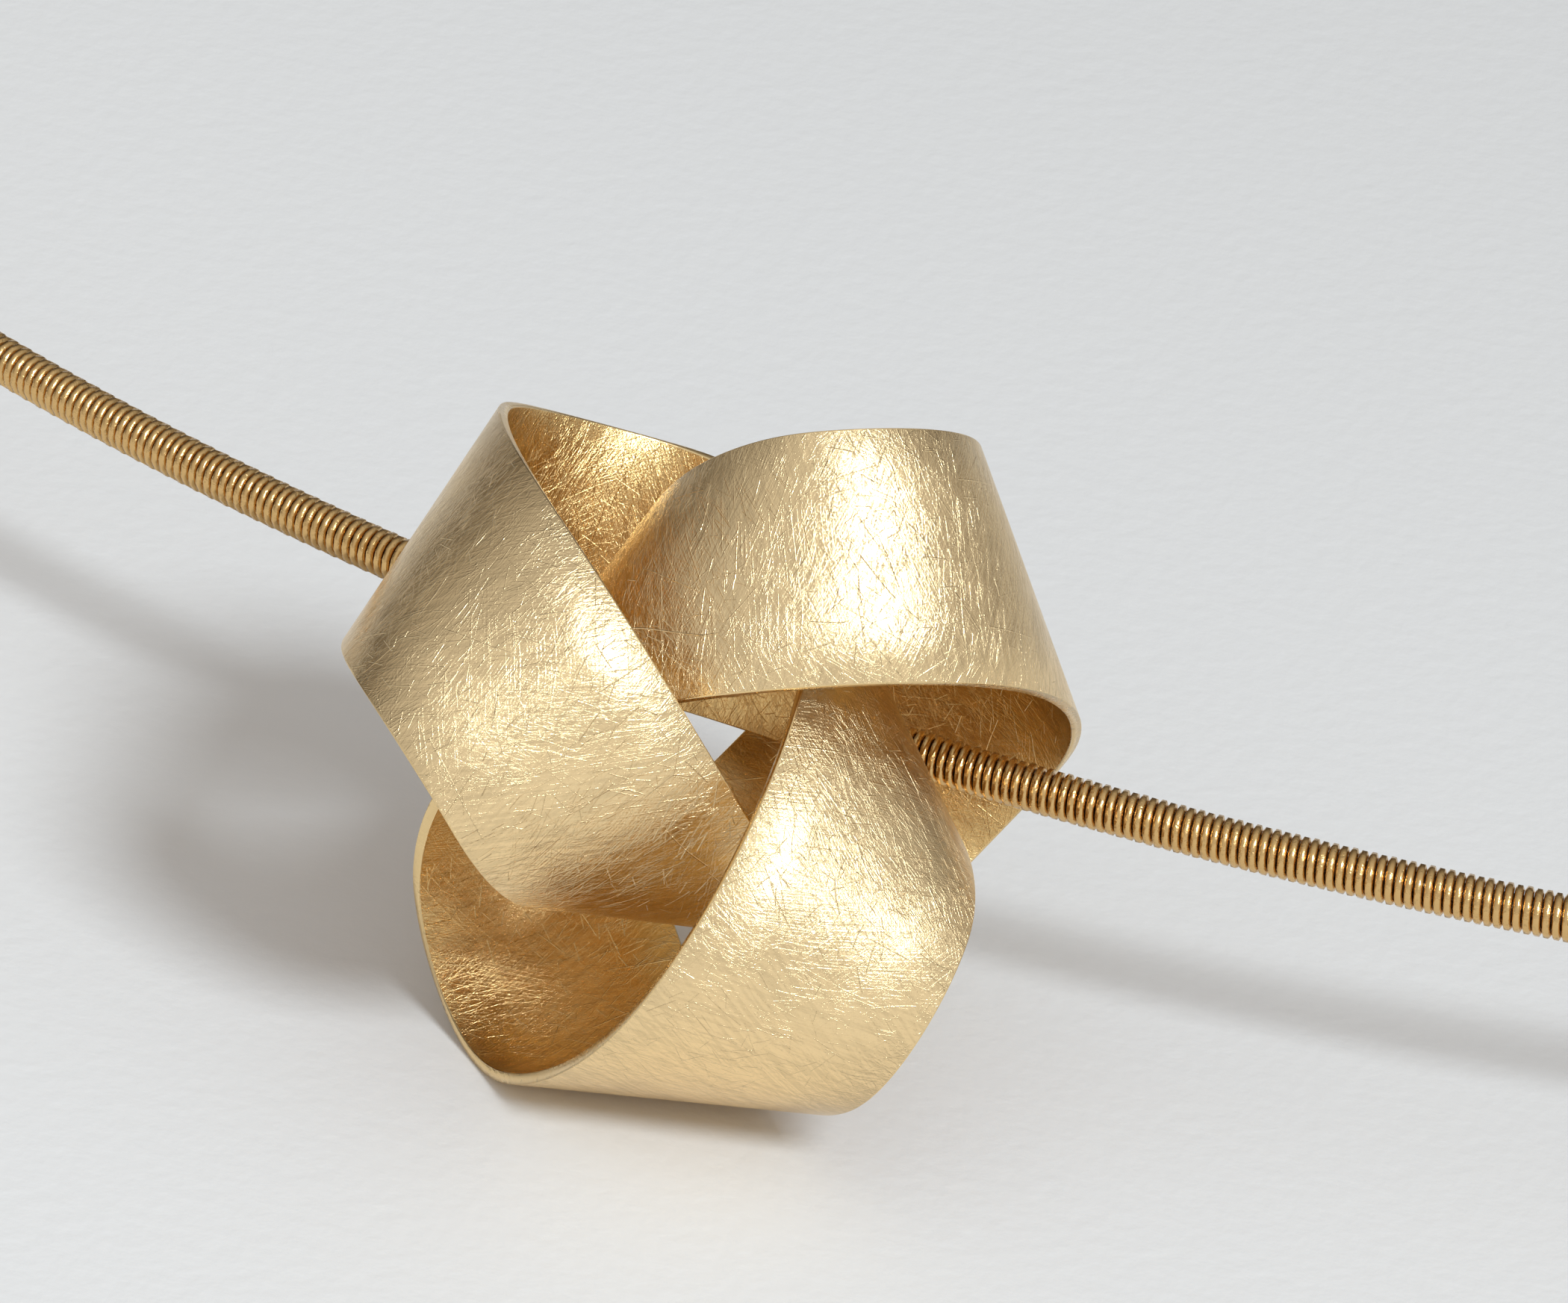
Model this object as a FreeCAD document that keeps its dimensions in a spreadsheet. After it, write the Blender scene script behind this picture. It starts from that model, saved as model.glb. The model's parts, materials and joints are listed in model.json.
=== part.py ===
"""A gold trefoil-knot pendant on a coil-wound neck wire with a lobster clasp.

Millimetres, +Z up.  The pendant stands on its lower loop and holds the front
of the hoop up; the rings of the clasp carry the back of the hoop.

Everything is first laid out in the hoop's own frame: origin at the hoop's
centre, Z along its axis, the pendant at -Y and the clasp at +Y.  The last
step tilts that frame until pendant and clasp both touch the plane z = 0.

The pendant is one flat strip of sheet, bent without stretching and closed on
itself as a trefoil knot.  Its middle line is a geodesic of the bent strip, so
two laws describe it: how sharply it bends and how fast it twists along its
length.  Both repeat three times round the knot and read the same from either
end of each repeat, and the means of the two laws are solved so that the
strip closes.
"""
import FreeCAD, Part
import math
import os

import Sketcher
from FreeCAD import Placement, Rotation, Vector

X_AXIS = Vector(1, 0, 0)
Y_AXIS = Vector(0, 1, 0)
Z_AXIS = Vector(0, 0, 1)

doc = FreeCAD.newDocument("knot_necklace")

# ---------------------------------------------------------------- the sizes
SIZES = {
    # neck wire: a profile wire wound round a core, bent to a hoop
    "hoop_radius": 79.8,
    "wire_diameter": 1.25,
    "winding_wire": 0.25,
    "core_clearance": 0.02,
    # end caps: a cup over the winding, a blind hole for the core, a flat eye
    "cap_diameter": 1.95,
    "cap_bore_clearance": 0.02,
    "cap_cup_depth": 2.6,
    "core_stub": 1.2,
    "cap_floor": 0.5,
    "cap_rim_height": 0.5,
    "cap_rim_step": 0.12,
    "eye_radius": 1.15,
    "eye_thickness": 0.8,
    "eye_hole_radius": 0.56,
    "eye_neck": 0.9,
    "eye_neck_width": 1.6,
    # the two rings, drawn tight between the caps and the clasp
    "ring_wire": 0.7,
    "ring_radius": 1.6,
    "ring_clearance": 0.04,
    # lobster clasp, measured from the centre of its tail hole
    "clasp_thickness": 1.7,
    "clasp_edge_round": 0.45,
    "clasp_tail_radius": 1.2,
    "tail_hole_radius": 0.58,
    "tail_thickness": 1.0,
    "tail_flat_reach": 1.1,
    "clasp_head_radius": 2.3,
    "clasp_head_reach": 5.9,
    "hook_small_radius": 0.7,
    "hook_small_reach": 3.9,
    "hook_wall": 1.05,
    "mouth_start": 3.4,
    "mouth_floor": 0.35,
    "gate_thickness": 0.95,
    "gate_side_clearance": 0.06,
    "gate_end_clearance": 0.08,
    "gate_heel_radius": 0.6,
    "gate_reach": 3.2,
    "gate_nub_radius": 0.4,
    "gate_nub_reach": 3.5,
    "pivot_reach": 2.5,
    "pivot_height": 0.75,
    "rivet_diameter": 0.6,
    "rivet_clearance": 0.03,
    "rivet_head_radius": 0.45,
    "rivet_head_rise": 0.12,
    # torsion spring round the rivet, in a slot of the gate
    "spring_wire": 0.14,
    "spring_turns": 2.25,
    "spring_turn_gap": 0.02,
    "spring_clearance": 0.04,
    "spring_leg": 0.55,
    "spring_room_radius": 0.85,
    # pendant: one strip, knotted
    "band_length": 106.6,
    "band_width": 6.6,
    "band_thickness": 0.3,
    # bending and twisting laws, as turns of the strip over its whole length:
    # the swings between outer and inner curls and their overtones
    "bend_swing": 0.451,
    "bend_second": -0.507,
    "bend_third": -0.546,
    "twist_swing": -1.817,
    # how the pendant hangs on the wire
    "knot_outward": 5.3,
    "knot_upward": 1.45,
    "knot_yaw": -165.0,
    "knot_pitch": -29.0,
    "knot_roll": -53.8,
}

sheet = doc.addObject("Spreadsheet::Sheet", "Sizes")
for row, (alias, value) in enumerate(SIZES.items(), start=1):
    sheet.set("A%d" % row, alias)
    sheet.set("B%d" % row, repr(value))
    sheet.setAlias("B%d" % row, alias)
doc.recompute()


def size(alias):
    """The value of one cell of the sheet."""
    return float(sheet.get(alias))


# ------------------------------------------------- lengths that follow others
eye_reach = (size("core_stub") + size("cap_floor") + size("eye_neck")
             + size("eye_hole_radius"))
hook_seat = (size("clasp_head_reach") + size("clasp_head_radius")
             - size("hook_wall"))


def drawn_tight(thickness):
    """From the wall of a hole to the centre of a ring drawn tight round it."""
    inner = size("ring_radius") - size("ring_wire") / 2 - size("ring_clearance")
    return math.sqrt(inner * inner - thickness * thickness / 4)


eye_to_ring = size("eye_hole_radius") + drawn_tight(size("eye_thickness"))
ring_to_tail = size("tail_hole_radius") + drawn_tight(size("tail_thickness"))
tail_to_ring = hook_seat + drawn_tight(size("clasp_thickness"))
chain_span = 2 * eye_to_ring + ring_to_tail + tail_to_ring
# half the angle of the hoop that the clasp takes up: the eyes of the two caps
# lie on the end tangents of the winding, chain_span apart
end_reach = math.hypot(size("hoop_radius"), eye_reach)
half_gap = math.degrees(math.atan2(eye_reach, size("hoop_radius"))
                        + math.asin(chain_span / 2 / end_reach))
chain_y = (size("hoop_radius") * math.cos(math.radians(half_gap))
           + eye_reach * math.sin(math.radians(half_gap)))
jump_x = -chain_span / 2 + eye_to_ring
tail_x = jump_x + ring_to_tail


# --------------------------------------------------------- the knotted strip
STEPS = 48                      # integration steps per sixth of the strip
EVERY = 3                       # steps between the knots of the edge curves


def law(mean, overtones, phase):
    """A bending or twisting law at a phase from 0 (outer) to pi (inner)."""
    value = mean
    for order, overtone in enumerate(overtones, start=1):
        value += overtone * math.cos(order * phase)
    return 2 * math.pi / size("band_length") * value


def bend_at(mean, phase):
    overtones = (size("bend_swing"), size("bend_second"), size("bend_third"))
    return law(mean, overtones, phase)


def twist_at(mean, phase):
    return law(mean, (size("twist_swing"),), phase)


def strip_sixth(bend_mean, twist_mean):
    """Stations (point, tangent, outward normal) from an outer curl inwards."""
    step = size("band_length") / 6 / STEPS
    point, tangent, normal = Vector(), Vector(Z_AXIS), Vector(X_AXIS)
    stations = [(point, tangent, normal)]
    for i in range(STEPS):
        phase = math.pi * (i + 0.5) / STEPS
        across = tangent.cross(normal)
        turn = (tangent * twist_at(twist_mean, phase)
                - across * bend_at(bend_mean, phase))
        angle = math.degrees(turn.Length * step)
        half, whole = Rotation(turn, angle / 2), Rotation(turn, angle)
        middle, end = half.multVec(tangent), whole.multVec(tangent)
        point = point + (tangent + middle * 4 + end) * (step / 6)
        tangent, normal = end, whole.multVec(normal)
        stations.append((point, tangent, normal))
    return stations


def closing_error(bend_mean, twist_mean):
    """How far the two symmetry axes of a sixth miss meeting at 120 degrees."""
    stations = strip_sixth(bend_mean, twist_mean)
    first, last = stations[0], stations[-1]
    upright = first[2].cross(last[2])
    upright.normalize()
    apart = (last[0] - first[0]).dot(upright) / size("band_length")
    return apart, first[2].dot(last[2]) - math.cos(math.radians(120))


def solve_means():
    """Newton's method on the two means, from a trefoil that nearly closes."""
    bend, twist, nudge = 2.63, 0.35, 1e-6
    for _ in range(20):
        e1, e2 = closing_error(bend, twist)
        b1, b2 = closing_error(bend + nudge, twist)
        t1, t2 = closing_error(bend, twist + nudge)
        a11, a12 = (b1 - e1) / nudge, (t1 - e1) / nudge
        a21, a22 = (b2 - e2) / nudge, (t2 - e2) / nudge
        det = a11 * a22 - a12 * a21
        bend -= (a22 * e1 - a12 * e2) / det
        twist -= (a11 * e2 - a21 * e1) / det
        if abs(e1) + abs(e2) < 1e-10:
            break
    return bend, twist


def closed_strip():
    """Stations (point, normal, ruling) round the whole knot, in its own frame.

    Z is the knot's threefold axis and the first outer curl lies on +X.  A
    ruling is the straight line of the bent strip through a station, per unit
    of width.
    """
    bend_mean, twist_mean = solve_means()
    sixth = strip_sixth(bend_mean, twist_mean)
    x_dir = sixth[0][2]
    z_dir = x_dir.cross(sixth[-1][2])
    z_dir.normalize()
    y_dir = z_dir.cross(x_dir)
    # the centre is where the axis of the last station meets that of the first
    span = sixth[-1][0] - sixth[0][0]
    outward = sixth[-1][2]
    inner_reach = span.dot(y_dir) / outward.dot(y_dir)
    centre = sixth[-1][0] - outward * inner_reach

    def local(vector):
        return Vector(vector.dot(x_dir), vector.dot(y_dir), vector.dot(z_dir))

    third = []
    for i, (point, tangent, normal) in enumerate(sixth):
        phase = math.pi * i / STEPS
        slant = twist_at(twist_mean, phase) / bend_at(bend_mean, phase)
        ruling = tangent.cross(normal) - tangent * slant
        third.append((local(point - centre), local(normal), local(ruling)))
    # the second sixth is the first turned half round the inner curl's axis,
    # which reverses the run of the strip and with it the ruling's sense
    half_turn = Rotation(Vector(math.cos(math.radians(120)),
                                math.sin(math.radians(120)), 0), 180)
    for point, normal, ruling in third[-2:0:-1]:
        third.append((half_turn.multVec(point), half_turn.multVec(normal),
                      half_turn.multVec(ruling) * -1))
    stations = []
    for turn in (0, 240, 480):
        about_z = Rotation(Z_AXIS, turn)
        for station in third:
            stations.append(tuple(about_z.multVec(v) for v in station))
    return stations


def strip_corner(station, side, face):
    """A corner of the strip's section: side is -1 or 1 across, face -1 or 1."""
    point, normal, ruling = station
    return (point + ruling * (side * size("band_width") / 2)
            + normal * (face * size("band_thickness") / 2))


def edge_curve(stations, side, face):
    """One of the strip's four long edges, as a closed cubic spline."""
    knots = [strip_corner(s, side, face) for s in stations[::EVERY]]
    curve = Part.BSplineCurve()
    steps = [float(i) for i in range(len(knots) + 1)]
    curve.interpolate(Points=knots, PeriodicFlag=True, Parameters=steps)
    return curve


def ruled_face(first, second):
    """The face swept by straight rulings between two edges of equal knots."""
    surface = Part.BSplineSurface()
    surface.buildFromPolesMultsKnots(
        [first.getPoles(), second.getPoles()], [2, 2],
        first.getMultiplicities(), [0.0, 1.0], first.getKnots(),
        False, True, 1, first.Degree)
    return surface.toShape()


def knotted_band(stations):
    """The strip as a closed solid: four ruled faces between its four edges."""
    corners = [(-1, -1), (1, -1), (1, 1), (-1, 1)]
    edges = [edge_curve(stations, side, face) for side, face in corners]
    faces = [ruled_face(edge, edges[(i + 1) % 4])
             for i, edge in enumerate(edges)]
    shell = Part.makeShell(faces)
    shell.sewShape()
    return Part.Solid(shell)


stations = closed_strip()
knot_seat = Placement(
    Vector(0, -size("hoop_radius") - size("knot_outward"), size("knot_upward")),
    Rotation(size("knot_yaw"), size("knot_pitch"), size("knot_roll")))


# ----------------------------------------------------------- the rest pose
def rest_placement():
    """Tilt and lift of the hoop so that knot and clasp rings touch z = 0."""
    corners = []
    for station in stations:
        for side in (-1, 1):
            for face in (-1, 1):
                corner = strip_corner(station, side, face)
                corners.append(knot_seat.multVec(corner))
    ring_reach = size("ring_radius") + size("ring_wire") / 2

    def lows(tilt):
        sine, cosine = math.sin(tilt), math.cos(tilt)
        knot_low = min(p.z * cosine - p.y * sine for p in corners)
        return knot_low, -chain_y * sine - ring_reach * cosine

    low, high = 0.0, math.radians(20)
    for _ in range(60):
        tilt = (low + high) / 2
        knot_low, ring_low = lows(tilt)
        if knot_low < ring_low:
            low = tilt
        else:
            high = tilt
    return math.degrees(tilt), -min(knot_low, ring_low)


tilt, lift = rest_placement()
rest = Placement(Vector(0, 0, lift), Rotation(X_AXIS, -tilt))


# ------------------------------------------------------------------- helpers
def plane_of(body, role):
    for feature in body.Origin.OriginFeatures:
        if feature.Role == role:
            return feature
    raise ValueError(role)


def new_sketch(body, name, role):
    sketch = body.newObject("Sketcher::SketchObject", name)
    sketch.AttachmentSupport = [(plane_of(body, role), "")]
    sketch.MapMode = "FlatFace"
    return sketch


def bind(sketch, constraint, name, expression):
    """Add a sketch constraint and tie its value to the sheet."""
    index = sketch.addConstraint(constraint)
    sketch.renameConstraint(index, name)
    sketch.setExpression("Constraints." + name, expression)


def circle(sketch, name, reach, radius, reach_law, radius_law):
    """A circle centred on the sketch's X axis."""
    index = sketch.addGeometry(Part.Circle(Vector(reach, 0, 0), Z_AXIS, radius))
    sketch.addConstraint(Sketcher.Constraint("PointOnObject", index, 3, -1))
    bind(sketch, Sketcher.Constraint("DistanceX", -1, 1, index, 3, reach),
         name + "_reach", reach_law)
    bind(sketch, Sketcher.Constraint("Radius", index, radius),
         name + "_radius", radius_law)


def egg(sketch, small_reach, small_radius, big_reach, big_radius, laws):
    """Two arcs on the X axis joined by their two outer tangent lines."""
    sine = (big_radius - small_radius) / (big_reach - small_reach)
    lean = math.asin(sine)
    small = Part.Circle(Vector(small_reach, 0, 0), Z_AXIS, small_radius)
    big = Part.Circle(Vector(big_reach, 0, 0), Z_AXIS, big_radius)
    top = math.pi / 2 + lean
    back = sketch.addGeometry(
        Part.ArcOfCircle(small, top, 2 * math.pi - top))
    front = sketch.addGeometry(Part.ArcOfCircle(big, -top, top))

    def on(circle_reach, radius, angle):
        return Vector(circle_reach + radius * math.cos(angle),
                      radius * math.sin(angle), 0)

    upper = sketch.addGeometry(Part.LineSegment(
        on(small_reach, small_radius, top), on(big_reach, big_radius, top)))
    lower = sketch.addGeometry(Part.LineSegment(
        on(small_reach, small_radius, -top), on(big_reach, big_radius, -top)))
    for line, end, arc, arc_end in ((upper, 1, back, 1), (upper, 2, front, 2),
                                    (lower, 1, back, 2), (lower, 2, front, 1)):
        sketch.addConstraint(
            Sketcher.Constraint("Tangent", line, end, arc, arc_end))
    for arc in (back, front):
        sketch.addConstraint(Sketcher.Constraint("PointOnObject", arc, 3, -1))
    names = ("small_reach", "small_radius", "big_reach", "big_radius")
    values = (small_reach, small_radius, big_reach, big_radius)
    for name, value, expression in zip(names, values, laws):
        arc = back if name.startswith("small") else front
        if name.endswith("radius"):
            constraint = Sketcher.Constraint("Radius", arc, value)
        elif abs(value) < 1e-9:
            sketch.addConstraint(Sketcher.Constraint("PointOnObject", arc, 3, -2))
            continue
        else:
            constraint = Sketcher.Constraint("DistanceX", -1, 1, arc, 3, value)
        bind(sketch, constraint, name, expression)


def primitive(kind, name, **laws):
    """A Part primitive whose properties are tied to the sheet."""
    item = doc.addObject(kind, name)
    for prop, expression in laws.items():
        item.setExpression(prop, expression)
    return item


def turned(item, x=0.0, y=0.0, z=0.0, axis=Z_AXIS, angle=0.0):
    item.Placement = Placement(Vector(x, y, z), Rotation(axis, angle))
    return item


def boolean(kind, name, base, tool):
    item = doc.addObject(kind, name)
    item.Base = base
    item.Tool = tool
    return item


def fuse(name, shapes):
    item = doc.addObject("Part::MultiFuse", name)
    item.Shapes = shapes
    item.Refine = True
    return item


nodes = []


def finish(item, label, local):
    """Give a sub-part its name and its place in the rest pose."""
    doc.recompute()
    item.Label = label
    item.Placement = rest.multiply(local)
    nodes.append(item)


# ---------------------------------------------------------------- neck wire
def hoop_body(name):
    body = doc.addObject("PartDesign::Body", name)
    sketch = new_sketch(body, name + "_section", "XZ_Plane")
    return body, sketch


def revolve_hoop(body, sketch, name, extra_angle):
    """Turn a section round the hoop's axis, leaving the clasp's gap open."""
    turn = body.newObject("PartDesign::Revolution", name + "_turn")
    turn.Profile = sketch
    turn.ReferenceAxis = (sketch, ["V_Axis"])
    turn.Midplane = True
    turn.Angle = 360 - 2 * half_gap + 2 * extra_angle
    sketch.Visibility = False
    body.Tip = turn


def coil_winding():
    """The wound wire, as the tube that its touching turns make."""
    body, sketch = hoop_body("CoilWinding")
    for ring, inset in (("outside", "0"), ("bore", "Sizes.winding_wire")):
        radius = size("wire_diameter") / 2
        if ring == "bore":
            radius -= size("winding_wire")
        circle(sketch, ring, size("hoop_radius"), radius, "Sizes.hoop_radius",
               "Sizes.wire_diameter / 2 - " + inset)
    revolve_hoop(body, sketch, "CoilWinding", 0.0)
    finish(body, "coil_winding", Placement(Vector(), Rotation(Z_AXIS, -90)))


def core_cable():
    """The core runs through the winding and a stub longer at each end."""
    body, sketch = hoop_body("CoreCable")
    radius = (size("wire_diameter") / 2 - size("winding_wire")
              - size("core_clearance"))
    circle(sketch, "core", size("hoop_radius"), radius, "Sizes.hoop_radius",
           "Sizes.wire_diameter / 2 - Sizes.winding_wire - Sizes.core_clearance")
    stub_angle = math.degrees(
        (size("core_stub") - size("core_clearance")) / size("hoop_radius"))
    revolve_hoop(body, sketch, "CoreCable", stub_angle)
    finish(body, "core_cable", Placement(Vector(), Rotation(Z_AXIS, -90)))


def end_cap(label, mirror):
    """Cup, blind core hole, rim bead and flat eye, along local +X.

    The local origin is the end of the winding and +X points at the clasp.
    The winding curves away inside the cup, so the bore has room for that.
    """
    cup, name = size("cap_cup_depth"), label.title().replace("_", "")
    sag = cup * cup / 2 / size("hoop_radius")
    outer = primitive("Part::Cylinder", name + "_barrel",
                      Radius="Sizes.cap_diameter / 2",
                      Height="Sizes.cap_cup_depth + Sizes.core_stub"
                             " + Sizes.cap_floor")
    turned(outer, x=-cup, axis=Y_AXIS, angle=90)
    rim = primitive("Part::Cylinder", name + "_rim",
                    Radius="Sizes.cap_diameter / 2 + Sizes.cap_rim_step",
                    Height="Sizes.cap_rim_height")
    turned(rim, x=-cup, axis=Y_AXIS, angle=90)
    dome = primitive("Part::Sphere", name + "_dome",
                     Radius="Sizes.cap_diameter / 2")
    turned(dome, x=size("core_stub") + size("cap_floor"), axis=Y_AXIS, angle=90)
    neck = primitive("Part::Box", name + "_neck",
                     Length="Sizes.eye_neck + Sizes.eye_hole_radius",
                     Width="Sizes.eye_neck_width",
                     Height="Sizes.eye_thickness")
    turned(neck, x=size("core_stub") + size("cap_floor"),
           y=-size("eye_neck_width") / 2, z=-size("eye_thickness") / 2)
    eye = primitive("Part::Cylinder", name + "_eye",
                    Radius="Sizes.eye_radius", Height="Sizes.eye_thickness")
    turned(eye, x=eye_reach, z=-size("eye_thickness") / 2)
    body = fuse(name + "_body", [outer, rim, dome, neck, eye])

    bore = primitive("Part::Cylinder", name + "_bore",
                     Radius="Sizes.wire_diameter / 2 + Sizes.cap_bore_clearance"
                            " + Sizes.cap_cup_depth ^ 2 / Sizes.hoop_radius / 4",
                     Height="Sizes.cap_cup_depth")
    turned(bore, x=-cup, y=-sag / 2 * mirror, axis=Y_AXIS, angle=90)
    core_hole = primitive("Part::Cylinder", name + "_core_hole",
                          Radius="Sizes.wire_diameter / 2 - Sizes.winding_wire",
                          Height="Sizes.core_stub")
    turned(core_hole, axis=Y_AXIS, angle=90)
    hole = primitive("Part::Cylinder", name + "_hole",
                     Radius="Sizes.eye_hole_radius",
                     Height="Sizes.eye_thickness * 2")
    turned(hole, x=eye_reach, z=-size("eye_thickness"))
    cutters = fuse(name + "_cutters", [bore, core_hole, hole])
    cap = boolean("Part::Cut", name, body, cutters)
    angle = math.radians(half_gap)
    side = -mirror
    end = Vector(side * size("hoop_radius") * math.sin(angle),
                 size("hoop_radius") * math.cos(angle), 0)
    heading = half_gap if side < 0 else 180 - half_gap
    finish(cap, label, Placement(end, Rotation(Z_AXIS, heading)))


# --------------------------------------------------------------------- rings
def ring(label, centre_x):
    """A round ring standing upright across the line of the clasp."""
    item = primitive("Part::Torus", label.title().replace("_", ""),
                     Radius1="Sizes.ring_radius", Radius2="Sizes.ring_wire / 2")
    finish(item, label, Placement(Vector(centre_x, chain_y, 0),
                                  Rotation(X_AXIS, 90)))


# --------------------------------------------------------------------- clasp
spring_height = ((size("spring_turns") + 1) * size("spring_wire")
                 + size("spring_turns") * size("spring_turn_gap"))
CLASP_LAWS = ("0", "Sizes.clasp_tail_radius",
              "Sizes.clasp_head_reach", "Sizes.clasp_head_radius")
HOOK_LAWS = ("Sizes.hook_small_reach", "Sizes.hook_small_radius",
             "Sizes.clasp_head_reach",
             "Sizes.clasp_head_radius - Sizes.hook_wall")


def clasp_outline(sketch):
    egg(sketch, 0.0, size("clasp_tail_radius"), size("clasp_head_reach"),
        size("clasp_head_radius"), CLASP_LAWS)


def hook_outline(sketch):
    egg(sketch, size("hook_small_reach"), size("hook_small_radius"),
        size("clasp_head_reach"),
        size("clasp_head_radius") - size("hook_wall"), HOOK_LAWS)


def rectangle(sketch, name, left, right, bottom, top, laws):
    """A rectangle whose four sides follow the sheet."""
    corners = [Vector(left, bottom, 0), Vector(right, bottom, 0),
               Vector(right, top, 0), Vector(left, top, 0)]
    first = sketch.GeometryCount
    for i, corner in enumerate(corners):
        sketch.addGeometry(Part.LineSegment(corner, corners[(i + 1) % 4]))
    for i in range(4):
        sketch.addConstraint(Sketcher.Constraint(
            "Coincident", first + i, 2, first + (i + 1) % 4, 1))
        kind = "Horizontal" if i % 2 == 0 else "Vertical"
        sketch.addConstraint(Sketcher.Constraint(kind, first + i))
    bind(sketch, Sketcher.Constraint("DistanceX", -1, 1, first, 1, left),
         name + "_left", laws[0])
    bind(sketch, Sketcher.Constraint("DistanceX", -1, 1, first, 2, right),
         name + "_right", laws[1])
    bind(sketch, Sketcher.Constraint("DistanceY", -1, 1, first, 1, bottom),
         name + "_bottom", laws[2])
    bind(sketch, Sketcher.Constraint("DistanceY", -1, 1, first + 2, 1, top),
         name + "_top", laws[3])


def mouth_outline(sketch, left, bottom, top, reach):
    """The clasp's mouth: straight sides, and an arc about the gate's pivot
    where the tip of the gate sweeps past the nose."""
    pivot = Vector(size("pivot_reach"), size("pivot_height"), 0)

    def sweep(height):
        return math.asin((height - pivot.y) / reach)

    def tip(angle):
        return pivot + Vector(math.cos(angle), math.sin(angle), 0) * reach

    low, high = tip(sweep(bottom)), tip(sweep(top))
    corners = [high, Vector(left, top, 0), Vector(left, bottom, 0), low]
    for i in range(3):
        sketch.addGeometry(Part.LineSegment(corners[i], corners[i + 1]))
    sketch.addGeometry(Part.ArcOfCircle(Part.Circle(pivot, Z_AXIS, reach),
                                        sweep(bottom), sweep(top)))
    for i, kind in enumerate(("Horizontal", "Vertical", "Horizontal")):
        sketch.addConstraint(Sketcher.Constraint(kind, i))
    for first, end, second, start in ((0, 2, 1, 1), (1, 2, 2, 1),
                                      (2, 2, 3, 1), (3, 2, 0, 1)):
        sketch.addConstraint(
            Sketcher.Constraint("Coincident", first, end, second, start))
    bind(sketch, Sketcher.Constraint("DistanceX", -1, 1, 1, 1, left),
         "left", "Sizes.mouth_start")
    bind(sketch, Sketcher.Constraint("DistanceY", -1, 1, 2, 1, bottom),
         "bottom", "Sizes.mouth_floor")
    bind(sketch, Sketcher.Constraint("DistanceY", -1, 1, 0, 1, top),
         "top", "Sizes.clasp_head_radius + Sizes.gate_end_clearance")
    bind(sketch, Sketcher.Constraint("DistanceX", -1, 1, 3, 3, pivot.x),
         "pivot_x", "Sizes.pivot_reach")
    bind(sketch, Sketcher.Constraint("DistanceY", -1, 1, 3, 3, pivot.y),
         "pivot_y", "Sizes.pivot_height")
    bind(sketch, Sketcher.Constraint("Radius", 3, reach),
         "reach", "Sizes.gate_reach + Sizes.gate_end_clearance")


def pocket(body, sketch, name, depth_law):
    """A cut of the given depth, half to each side of the sketch."""
    cut = body.newObject("PartDesign::Pocket", name)
    cut.Profile = sketch
    cut.Midplane = True
    cut.setExpression("Length", depth_law)
    sketch.Visibility = False
    body.Tip = cut
    return cut


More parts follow.
